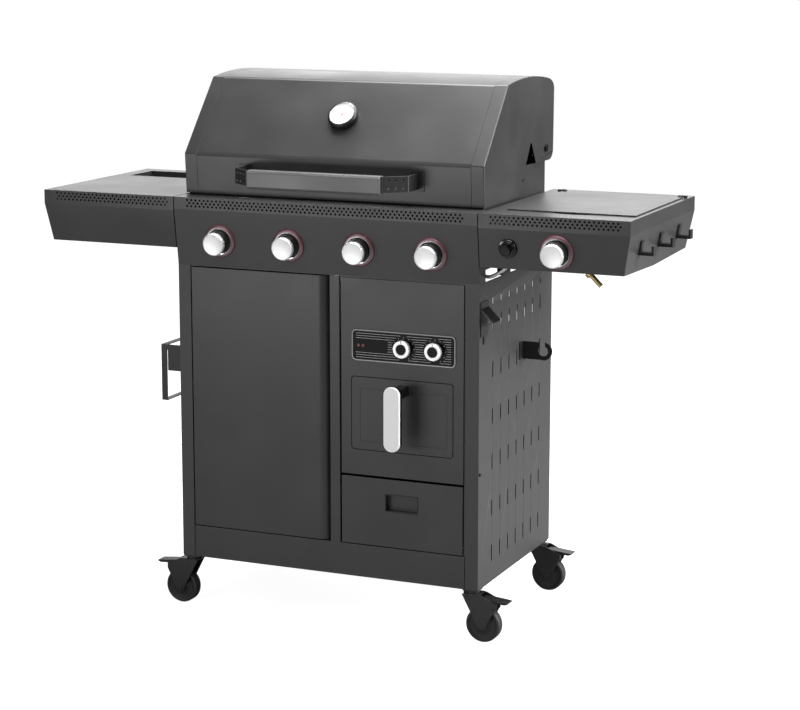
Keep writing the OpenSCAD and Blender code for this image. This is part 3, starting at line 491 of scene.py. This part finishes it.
def ring_tree():
    """Bars laid round an arc in the XY plane, each pointing at the middle."""
    inputs = [("Count", "NodeSocketInt"), ("Radius", "NodeSocketFloat"), ("Start", "NodeSocketFloat"),
              ("Step", "NodeSocketFloat"), ("Size", "NodeSocketVector"), ("Height", "NodeSocketFloat"),
              ("Material", "NodeSocketMaterial")]
    tree, given, out = group_of("marks_round_an_arc", inputs)
    points = add(tree, "GeometryNodeMeshLine", links={"Count": given.outputs["Count"]})
    index = add(tree, "GeometryNodeInputIndex")
    turn = add(tree, "ShaderNodeMath", links={0: index.outputs[0], 1: given.outputs["Step"]},
               operation="MULTIPLY")
    angle = add(tree, "ShaderNodeMath", links={0: turn.outputs[0], 1: given.outputs["Start"]},
                operation="ADD")
    cosine = add(tree, "ShaderNodeMath", links={0: angle.outputs[0]}, operation="COSINE")
    sine = add(tree, "ShaderNodeMath", links={0: angle.outputs[0]}, operation="SINE")
    x = add(tree, "ShaderNodeMath", links={0: cosine.outputs[0], 1: given.outputs["Radius"]},
            operation="MULTIPLY")
    y = add(tree, "ShaderNodeMath", links={0: sine.outputs[0], 1: given.outputs["Radius"]},
            operation="MULTIPLY")
    spot = add(tree, "ShaderNodeCombineXYZ", links={"X": x.outputs[0], "Y": y.outputs[0],
                                                    "Z": given.outputs["Height"]})
    placed = add(tree, "GeometryNodeSetPosition",
                 links={"Geometry": points.outputs[0], "Position": spot.outputs[0]})
    turned_by = add(tree, "ShaderNodeCombineXYZ", links={"Z": angle.outputs[0]})
    bar = add(tree, "GeometryNodeMeshCube", links={"Size": given.outputs["Size"]})
    bars = add(tree, "GeometryNodeInstanceOnPoints",
               links={"Points": placed.outputs[0], "Instance": bar.outputs[0],
                                                            "Rotation": turned_by.outputs[0]})
    real = add(tree, "GeometryNodeRealizeInstances", links={"Geometry": bars.outputs[0]})
    coat = add(tree, "GeometryNodeSetMaterial",
               links={"Geometry": real.outputs[0], "Material": given.outputs["Material"]})
    tree.links.new(coat.outputs[0], out.inputs[0])
    return tree


PERFORATION = perforation_tree()
RING = ring_tree()


def grown(tree, values, place=None):
    """Runs a tree with its inputs set and returns the plain mesh it makes, moved to its place."""
    host = bpy.data.objects.new("seed", bpy.data.meshes.new("seed"))
    bpy.context.scene.collection.objects.link(host)
    modifier = host.modifiers.new("grow", "NODES")
    modifier.node_group = tree
    sockets = {s.name: s.identifier for s in tree.interface.items_tree if s.in_out == "INPUT"}
    for label, value in values.items():
        modifier[sockets[label]] = value
    view = bpy.context.evaluated_depsgraph_get()
    mesh = bpy.data.meshes.new_from_object(host.evaluated_get(view))
    host.modifiers.clear()
    bpy.data.objects.remove(host)
    if place is not None:
        mesh.transform(place)
    return mesh


def perforate(piece, columns, rows, corner, pitch=10, row_spacing=6.5, radius=2.5):
    """Cuts staggered round holes through a band of sheet, corner being the first hole's centre."""
    mesh = grown(PERFORATION, {"Columns": columns, "Rows": rows, "Pitch": pitch, "Row Spacing": row_spacing,
                               "Radius": radius, "Depth": 12.0, "Corner": corner}, CART)
    cutter = bpy.data.objects.new("pins", mesh)
    bpy.context.scene.collection.objects.link(cutter)
    return cut(piece, cutter)


def marks(name, body, material, place, count, radius, size, height, start=0.0, step=None,
          replaces=()):
    """Marks or ribs round an arc, in degrees, on a place given in cart millimetres."""
    mesh = grown(RING, {"Count": count, "Radius": radius, "Start": math.radians(start), "Size": size,
                        "Step": math.radians(360 / count if step is None else step), "Height": height,
                        "Material": material}, CART @ place)
    return finish_piece(mesh, name, material, body, replaces)


# ---------------------------------------------------------------- cabinet
def groove_cutter(side):
    """V grooves pressed down the side panel, one through each column of slots."""
    bm = bmesh.new()
    for i in range(7):
        y = SLOT_FIRST + SLOT_STEP * i + 1.6
        wedge = [(y - 1.3, 0.5), (y + 1.3, 0.5), (y + 1.3, 0), (y, -0.9), (y - 1.3, 0)]
        place = Matrix(((0, side, 0, side * HALF), (1, 0, 0, 0), (0, 0, 1, 40), (0, 0, 0, 1)))
        prism(bm, wedge, place, 572)
    recalculated(bm)
    bm.transform(CART)
    mesh = bpy.data.meshes.new("grooves")
    bm.to_mesh(mesh)
    bm.free()
    cutter = bpy.data.objects.new("grooves", mesh)
    bpy.context.scene.collection.objects.link(cutter)
    return cutter


def side_panels():
    for name, side in (("left_side_panel", -1), ("right_side_panel", 1)):
        piece = finish_piece(copy_of(name), name + "_sheet", panel_black, "cart", [name])
        cut(piece, groove_cutter(side))
        piece.data.shade_smooth()
        piece.data.set_sharp_from_angle(angle=math.radians(15))


def perforated_sheet(node, paint, fold, columns, first_x):
    """A folded panel with three rows of round holes along its band; its flat faces stay flat-shaded."""
    bm = copy_of(node)
    soften(bm, fold, 0.3)
    piece = finish_piece(bm, node + "_sheet", paint, "cart", [node])
    edge = piece.modifiers.new("edge", "BEVEL")
    edge.width = fold / 1000
    edge.segments = 3
    edge.limit_method = "WEIGHT"
    apply_modifiers(piece)
    perforate(piece, columns, 3, (first_x, BAND_Y, HOLES_Z))
    piece.data.shade_smooth()
    piece.data.set_sharp_from_angle(angle=math.radians(6))


def control_panel():
    perforated_sheet("control_panel", front_black, 1.2, 64, -317.5)


def plain_panels():
    softened("back_panel", "back_panel_sheet", panel_black, fold=0.8, rim=0.3)
    softened("floor_panel", "floor_panel_sheet", panel_black, fold=0.8, rim=0.3)
    softened("front_frame", "front_frame_sheet", front_black, fold=1.2, rim=0.3)


# ---------------------------------------------------------------- shelves
def shelves():
    perforated_sheet("left_shelf", shelf_black, 1.4, 28, -642)
    perforated_sheet("right_fascia", front_black, 1.4, 28, 379)
    softened("right_shelf", "right_shelf_sheet", shelf_black, fold=1.4, rim=0.3)
    softened("burner_lid", "burner_lid_sheet", shelf_black, fold=1.2, rim=0.3)


# ---------------------------------------------------------------- knobs
def knob_places():
    places = [("gas_knob_%d" % (i + 1), panel_place((i - 1.5) * KNOB_STEP, 708, 0,
                                                    CAB_TOP)) for i in range(4)]
    places.append(("side_knob", panel_place(519, 728, FASCIA_Y, FASCIA_LOW_Z)))
    return places


def gas_knobs():
    bezels = bmesh.new()
    for node, place in knob_places():
        bm = bmesh.new()
        turned(bm, [(0, 15), (3.3, 15), (3.3, 6), (16, 6), (16, 1), (23.6, 1), (25, 2.4), (25, 21.5),
                    (23.8, 23.6),
                    (0, 23.6)], place, 64)
        turned(bm, [(0, 23.7), (23.6, 23.7), (24.3, 24.4), (24.3, 30.6), (23.4, 32.4), (22.2, 33),
                    (21.4, 32.7),
                    (0, 32.9)], place, 64, material=1)
        finish_piece(recalculated(bm), node + "_body", [matt_plastic, spun_aluminium], node,
                     [node])
        marks(node + "_knurl", node, spun_aluminium, place, 60, 24.1, (0.9, 1.1, 6.0),
              27.6)
        turned(bezels, [(26.1, 0), (26.1, 4.4), (26.9, 5.4), (29.4, 5.8)], place, 72, material=1)
        turned(bezels, [(29.4, 5.8), (32.6, 5.4), (35.2, 3.4)], place, 72)
        turned(bezels, [(35.2, 3.4), (36, 2.2), (36, 0), (26.1, 0)], place, 72, material=2)
    bmesh.ops.remove_doubles(bezels, verts=bezels.verts, dist=0.01)
    finish_piece(recalculated(bezels), "knob_bezel_rings", [rose_ring, chrome, rose_edge], "cart",
                 ["control_bezels"])


def igniter():
    place = panel_place(415, 731, FASCIA_Y, FASCIA_LOW_Z)
    bm = bmesh.new()
    turned(bm, [(11.4, -30), (11.4, 11.2), (12.2, 12), (13.7, 12), (14.5, 11.2), (14.5, 7.4), (15.2, 6.2),
                (18.6, 5.4), (20, 3.4), (20, 0), (14, 0), (14, -34), (0, -34), (0, -32), (11.4, -32)],
                place)
    bmesh.ops.remove_doubles(bm, verts=bm.verts, dist=0.01)
    finish_piece(recalculated(bm), "igniter_collar", gloss_plastic, "cart")
    bm = bmesh.new()
    turned(bm, [(0, -4), (11, -4), (11, 17), (10.6, 18.6), (9, 19.8), (0, 20)], place)
    finish_piece(recalculated(bm), "igniter_cap", gloss_plastic, "igniter_button",
                 ["igniter_button"])


# ---------------------------------------------------------------- lid
def lid():
    softened("lid_skin", "lid_skin_sheet", lid_black, fold=5.0, rim=0.3, segments=5)
    softened("lid_end_caps", "lid_end_cap_sheets", lid_black, fold=2.0, rim=0.35, segments=4)
    softened("lid_handle", "lid_handle_bar", handle_grey, fold=0.9, rim=0.4)
    softened("handle_brackets", "handle_bracket_plates", castor_black, fold=1.5, rim=0.3)


def gauge_place():
    low, high = cart_box("gauge_case")
    slope = math.radians(49.02)
    middle = (low + high) / 2
    surface = Vector((0, middle.y, middle.z)) - Vector((0, -math.sin(slope), math.cos(slope))) * 8
    return Matrix.Translation(surface) @ Matrix.Rotation(slope, 4, "X")


def gauge():
    place = gauge_place()
    bm = bmesh.new()
    turned(bm, [(0, 0.2), (33, 0.2), (33, 11), (31.8, 14.2), (29.8, 15.6), (28.2, 15.9)], place, 72)
    turned(bm, [(28.2, 15.9), (27.4, 16), (26.8, 15.3), (26.8, 12.4)], place, 72, material=1)
    turned(bm, [(26.8, 12.4), (26.8, 10.4), (0, 10.4)], place, 72, material=2)
    bmesh.ops.remove_doubles(bm, verts=bm.verts, dist=0.01)
    finish_piece(recalculated(bm), "gauge_body", [matt_plastic, chrome, dial_white], "lid",
                 ["gauge_case"])
    marks("gauge_fine_marks", "lid", print_black, place, 41, 22.8, (1.6, 0.4, 0.12), 10.5,
          start=-30, step=6)
    marks("gauge_bold_marks", "lid", print_black, place, 9, 21.6, (3.2, 0.8, 0.14), 10.52,
          start=-30, step=30)
    glass = bmesh.new()
    turned(glass, [(0, 14.4), (26.7, 14.4), (26.7, 15), (0, 15)], place, 48)
    finish_piece(recalculated(glass), "gauge_window", clear_glass(), "lid")
    needle = bmesh.new()
    turned(needle, [(0, 12.2), (3, 12.2), (3, 13.4), (2.2, 13.9), (0, 14.0)], place, 32)
    turn = place @ Matrix.Rotation(math.radians(120), 4, "Z")
    prism(needle, [(-1.3, -6), (1.3, -6), (0.35, 20), (-0.35, 20)],
          turn @ Matrix.Translation((0, 0, 12.5)), 0.7)
    finish_piece(recalculated(needle), "gauge_pointer", needle_red, "gauge_needle",
                 ["gauge_needle"])


# ---------------------------------------------------------------- door, drawer, fryer
def raised_ring(bm, outer, inner, place, proud):
    """Closed ring between two outlines with the same number of points."""
    loops = [[bm.verts.new(place @ Vector((x, z, h))) for x, z in points]
             for points, h in ((outer, 0), (outer, proud), (inner, proud), (inner, 0))]
    for a, b in zip(loops, loops[1:] + loops[:1]):
        for k in range(len(outer)):
            nxt = (k + 1) % len(outer)
            bm.faces.new([a[k], a[nxt], b[nxt], b[k]])


def door():
    softened("door", "door_sheet", front_black, fold=0.5, rim=0.3)


def drawer():
    softened("storage_drawer", "drawer_sheet", front_black, fold=0.8, rim=0.3)
    bm = bmesh.new()
    outer = rounded_outline((138, 149.5), (214, 188.5), 2.5, 4)
    inner = rounded_outline((140.2, 151.8), (211.8, 186.2), 1.2, 4)
    raised_ring(bm, outer, inner, front_place(0, 0, 0), 0.9)
    finish_piece(recalculated(bm), "drawer_pull_rim", gloss_plastic, "storage_drawer")


FRYER_MID = (cart_box("fryer_basket")[0].x + cart_box("fryer_basket")[1].x) / 2
PLATE_LOW = (FRYER_MID - 114, 472)
PLATE_HIGH = (FRYER_MID + 122, 539)
FRYER_KNOBS = [("fryer_knob_left", FRYER_MID + 5), ("fryer_knob_right", FRYER_MID + 76)]
FRYER_KNOB_Z = 505


def outline_ring(bm, low, high, radius, width, y, proud):
    """A thin raised frame of rounded corners on a front face."""
    outer = rounded_outline(low, high, radius)
    inner = rounded_outline((low[0] + width, low[1] + width), (high[0] - width, high[1] - width),
                            max(radius - width, 0.5))
    raised_ring(bm, outer, inner, front_place(0, y, 0), proud)


def fryer():
    softened("fryer_front", "fryer_front_sheet", front_black, fold=0.6, rim=0.3)
    # closes the line of sight past the right edge of the fryer front
    low, high = cart_box("fryer_front")
    bm = bmesh.new()
    block(bm, (high.x - 6, 5.2, low.z), (high.x + 3, 6.0, high.z))
    finish_piece(bm, "fryer_gap_fold", front_black, "cart")
    bm = bmesh.new()
    outline_ring(bm, (PLATE_LOW[0] + 0.5, PLATE_LOW[1] + 0.5), (PLATE_HIGH[0] - 0.5, PLATE_HIGH[1] - 0.5),
                 9.5, 2.2,
                 -2, 0.6)
    finish_piece(recalculated(bm), "control_plate_trim", chrome, "cart")
    bm = bmesh.new()
    plate = rounded_outline((PLATE_LOW[0] + 3, PLATE_LOW[1] + 3), (PLATE_HIGH[0] - 3, PLATE_HIGH[1] - 3), 7)
    prism(bm, plate, front_place(0, -2, 0), 0.15)
    finish_piece(recalculated(bm), "control_plate_face", gloss_plastic, "cart")
    fine_lines()
    for node, x in FRYER_KNOBS:
        fryer_knob(node, x)
    lamps()
    basket()


def fine_lines():
    """Thin printed lines across the control plate that stop short of each knob."""
    bm = bmesh.new()
    count = 11
    for i in range(count):
        z = PLATE_LOW[1] + 8 + i * (PLATE_HIGH[1] - PLATE_LOW[1] - 16) / (count - 1)
        start = FRYER_KNOBS[0][1] - 36 if abs(z - FRYER_KNOB_Z) < 12 else PLATE_LOW[0] + 10
        spans = [(start, PLATE_HIGH[0] - 10)]
        for _, x in FRYER_KNOBS:
            reach = math.sqrt(max(27 ** 2 - (z - FRYER_KNOB_Z) ** 2, 0))
            if reach:
                pieces_left = []
                for a, b in spans:
                    if a < x - reach < b or a < x + reach < b:
                        pieces_left += [(a, x - reach), (x + reach, b)]
                    else:
                        pieces_left.append((a, b))
                spans = [(a, b) for a, b in pieces_left if b - a > 2]
        for a, b in spans:
            block(bm, (a, -2.32, z - 0.3), (b, -2.14, z + 0.3))
    finish_piece(bm, "control_plate_lines", print_grey, "cart")


def fryer_knob(node, x):
    place = front_place(x, 0, FRYER_KNOB_Z)
    bm = bmesh.new()
    turned(bm, [(3.3, 2.5), (3.3, 12), (0, 12)], place, 56)
    turned(bm, [(3.3, 2.5), (18.2, 2.5), (19, 3.3), (19, 11)], place, 56, material=0)
    turned(bm, [(19, 11), (18.7, 16.6), (17.6, 17.9), (12, 18), (11.2, 17.3)], place, 56, material=1)
    turned(bm, [(11.2, 17.3), (10.8, 17.6), (10.2, 18.8), (0, 19)], place, 56, material=0)
    bmesh.ops.remove_doubles(bm, verts=bm.verts, dist=0.01)
    finish_piece(recalculated(bm), node + "_turned", [gloss_plastic, spun_aluminium], node,
                 [node])
    bm = bmesh.new()
    block(bm, (-0.7, 12.8, 17.9), (0.7, 16.6, 18.1))
    bm.transform(place)
    finish_piece(bm, node + "_pointer", print_black, node)
    marks(node + "_scale", "cart", print_grey, place, 11, 23.6, (2.6, 0.8, 0.2), 2.3,
          start=-60, step=30)


def lamps():
    bm = bmesh.new()
    for k in range(2):
        x = PLATE_LOW[0] + 13 + 10 * k
        block(bm, (x, -2.9, FRYER_KNOB_Z - 3), (x + 6, -2.0, FRYER_KNOB_Z + 3))
    finish_piece(bm, "indicator_lamps", lamp_lens(), "cart", bevel=0.4)


def basket():
    low, high = cart_box("fryer_basket")
    bm = bmesh.new()
    prism(bm, rounded_outline((low.x, low.z), (high.x, high.z), 7), front_place(0, 13, 0), 13.4)
    finish_piece(recalculated(bm), "basket_front", front_black, "basket",
                 ["fryer_basket"],
                 bevel=0.8, segments=3)
    bm = bmesh.new()
    x0, x1 = FRYER_MID - 108, FRYER_MID + 108
    block(bm, (x0, 13, 288), (x1, high.y, 289.5))
    for a, b in (((x0, 13, 289.5), (x1, 14.5, 428)), ((x0, high.y - 1.5, 289.5), (x1, high.y, 428)),
                 ((x0, 14.5, 289.5), (x0 + 1.5, high.y - 1.5, 428)),
                 ((x1 - 1.5, 14.5, 289.5), (x1, high.y - 1.5, 428))):
        block(bm, a, b)
    finish_piece(bm, "basket_bowl", basket_black, "basket", bevel=0.3)
    # Embossed groove frame on the basket front, drawn as a thin raised ring in the darker black print
    # material: its dark colour is painted shade of the groove.
    bm = bmesh.new()
    outline_ring(bm, (81, 298), (280, 413), 3, 1.3, -0.4, 0.3)
    finish_piece(recalculated(bm), "basket_groove_frame_painted_shade", print_black, "basket")
    grip_x = (cart_box("basket_handle")[0].x + cart_box("basket_handle")[1].x) / 2
    bm = bmesh.new()
    block(bm, (grip_x - 12, -52, 405), (grip_x + 12, -1, 426))
    prism(bm, rounded_outline((grip_x - 17.5, 297.5), (grip_x + 17.5, 434.5), 17, 14),
          front_place(0, -50, 0), 12)
    finish_piece(recalculated(bm), "basket_grip", gloss_plastic, "basket",
                 ["basket_handle"],
                 bevel=2.0, segments=4)
    bm = bmesh.new()
    prism(bm, rounded_outline((grip_x - 18, 297), (grip_x + 18, 435), 17.5, 14), front_place(0, -61, 0), 7)
    finish_piece(recalculated(bm), "basket_grip_cover", bright_cover, "basket",
                 bevel=2.2, segments=4)
    softened("crisper_plate", "crisper_plate_sheet", basket_black, fold=0.5, rim=0.3)


# ---------------------------------------------------------------- castors
def castors():
    for corner in ("fl", "fr", "rl", "rr"):
        low, high = cart_box("wheel_" + corner)
        middle = (low + high) / 2
        wheel_place = Matrix.Translation(middle) @ Matrix.Rotation(math.radians(90), 4, "X")
        radius = (high.z - low.z) / 2
        bm = bmesh.new()
        tread = [(radius * 0.80, -11), (radius - 5, -12), (radius - 1.6, -11), (radius, -8), (radius, 8),
                 (radius - 1.6, 11), (radius - 5, 12), (radius * 0.80, 11)]
        turned(bm, tread, wheel_place, 72)
        turned(bm, [(radius * 0.80, 11), (radius * 0.77, 9.6), (22, 8.2), (15, 9), (12, 11), (12, 14),
                    (4.3, 14),
                    (4.3, -14), (12, -14), (12, -11), (15, -9), (22, -8.2), (radius * 0.77, -9.6),
                    (radius * 0.80, -11)], wheel_place, 72, material=1)
        bmesh.ops.remove_doubles(bm, verts=bm.verts, dist=0.01)
        finish_piece(recalculated(bm), "tyre_and_hub_" + corner, [tyre_rubber, matt_plastic],
                     "wheel_" + corner,
                     ["wheel_" + corner])
        softened("castor_fork_" + corner, "fork_plates_" + corner, castor_black, fold=0.8,
                 rim=0.4)
        softened("brake_pedal_" + corner, "brake_lever_" + corner, matt_plastic,
                 fold=1.0, rim=0.6)


# ---------------------------------------------------------------- what stays as the CAD made it
def coat_nodes():
    for names, material in (
            (["castor_plates"], castor_black), (["utensil_holders", "side_rack"], hook_black),
            (["firebox", "side_burner"], firebox_black), (["cast_grates"], iron),
            (["warming_rack"], chrome), (["fasteners"], black_screw),
            (["heat_plates", "burners", "side_gas_tube", "fryer_heater", "fryer_fan"], stainless),
            (["manifold", "fryer_housing", "grease_tray"], zinc), (["gas_inlet"], brass)):
        for name in names:
            mesh = frame["nodes"][name].data
            mesh.materials.clear()
            mesh.materials.append(material)


# ---------------------------------------------------------------- studio
def area_light(name, place, target, size, power, colour="#ffffff"):
    data = bpy.data.lights.new(name, "AREA")
    data.shape = "RECTANGLE"
    data.size, data.size_y = size
    data.energy = power
    data.color = linear(colour)[:3]
    lamp = bpy.data.objects.new(name, data)
    bpy.context.scene.collection.objects.link(lamp)
    lamp.location = place
    lamp.visible_camera = False
    lamp.rotation_euler = (Vector(target) - Vector(place)).to_track_quat("-Z", "Y").to_euler()


def seen_white(tree, lit, strength):
    """Strength of a white background: full to the camera, weaker where it lights the cart."""
    rays = add(tree, "ShaderNodeLightPath")
    return add(tree, "ShaderNodeMapRange", {"To Min": lit, "To Max": strength},
               {"Value": rays.outputs["Is Camera Ray"]})


def studio():
    world = bpy.data.worlds.new("studio")
    bpy.context.scene.world = world
    world.use_nodes = True
    tree = world.node_tree
    sky = tree.nodes["Background"]
    sky.inputs["Color"].default_value = (1, 1, 1, 1)
    tree.links.new(seen_white(tree, 0.22, 1.02).outputs[0], sky.inputs["Strength"])
    floor = bpy.data.meshes.new("floor")
    floor.from_pydata([(-60, -60, 0), (60, -60, 0), (60, 60, 0), (-60, 60, 0)], [], [(0, 1, 2, 3)])
    ground = bpy.data.objects.new("floor", floor)
    bpy.context.scene.collection.objects.link(ground)
    material, tree, shader, _ = new_material("pale_floor")
    shader.inputs["Base Color"].default_value = (0.3, 0.3, 0.3, 1)
    shader.inputs["Roughness"].default_value = 0.9
    shader.inputs["Emission Color"].default_value = (1, 1, 1, 1)
    tree.links.new(seen_white(tree, 0.0, 0.92).outputs[0], shader.inputs["Emission Strength"])
    floor.materials.append(material)
    area_light("top_softbox", (0.3, 0.4, 3.2), (0, 0, 0.7), (3.0, 2.2), 240)
    area_light("right_softbox", (3.4, 0.6, 1.8), (0.2, 0.1, 0.6), (2.0, 2.4), 235)
    area_light("front_fill", (-0.9, -3.2, 2.9), (0, 0, 0.8), (2.6, 1.6), 22)
    area_light("low_strip", (-0.76, -2.2, 0.63), (0.1, -0.2, 0.9), (1.3, 0.35), 12)
    area_light("back_softbox", (-2.2, 4.6, 2.3), (0, 0, 0.9), (5.0, 1.2), 55)
    bpy.context.scene.view_settings.view_transform = "Standard"


def camera():
    data = bpy.data.cameras.new("camera")
    data.sensor_width = 36
    data.lens = 101.12
    data.shift_y = -0.05
    eye = bpy.data.objects.new("camera", data)
    bpy.context.scene.collection.objects.link(eye)
    eye.location = CART @ Vector((1998.0, -4230.1, 1389.4))
    eye.rotation_euler = (math.radians(90 - 10.02), 0, math.radians(23.341))
    data.clip_end = 100
    bpy.context.scene.camera = eye


camera()
studio()
coat_nodes()
plain_panels()
side_panels()
control_panel()
shelves()
gas_knobs()
igniter()
lid()
gauge()
door()
drawer()
fryer()
castors()
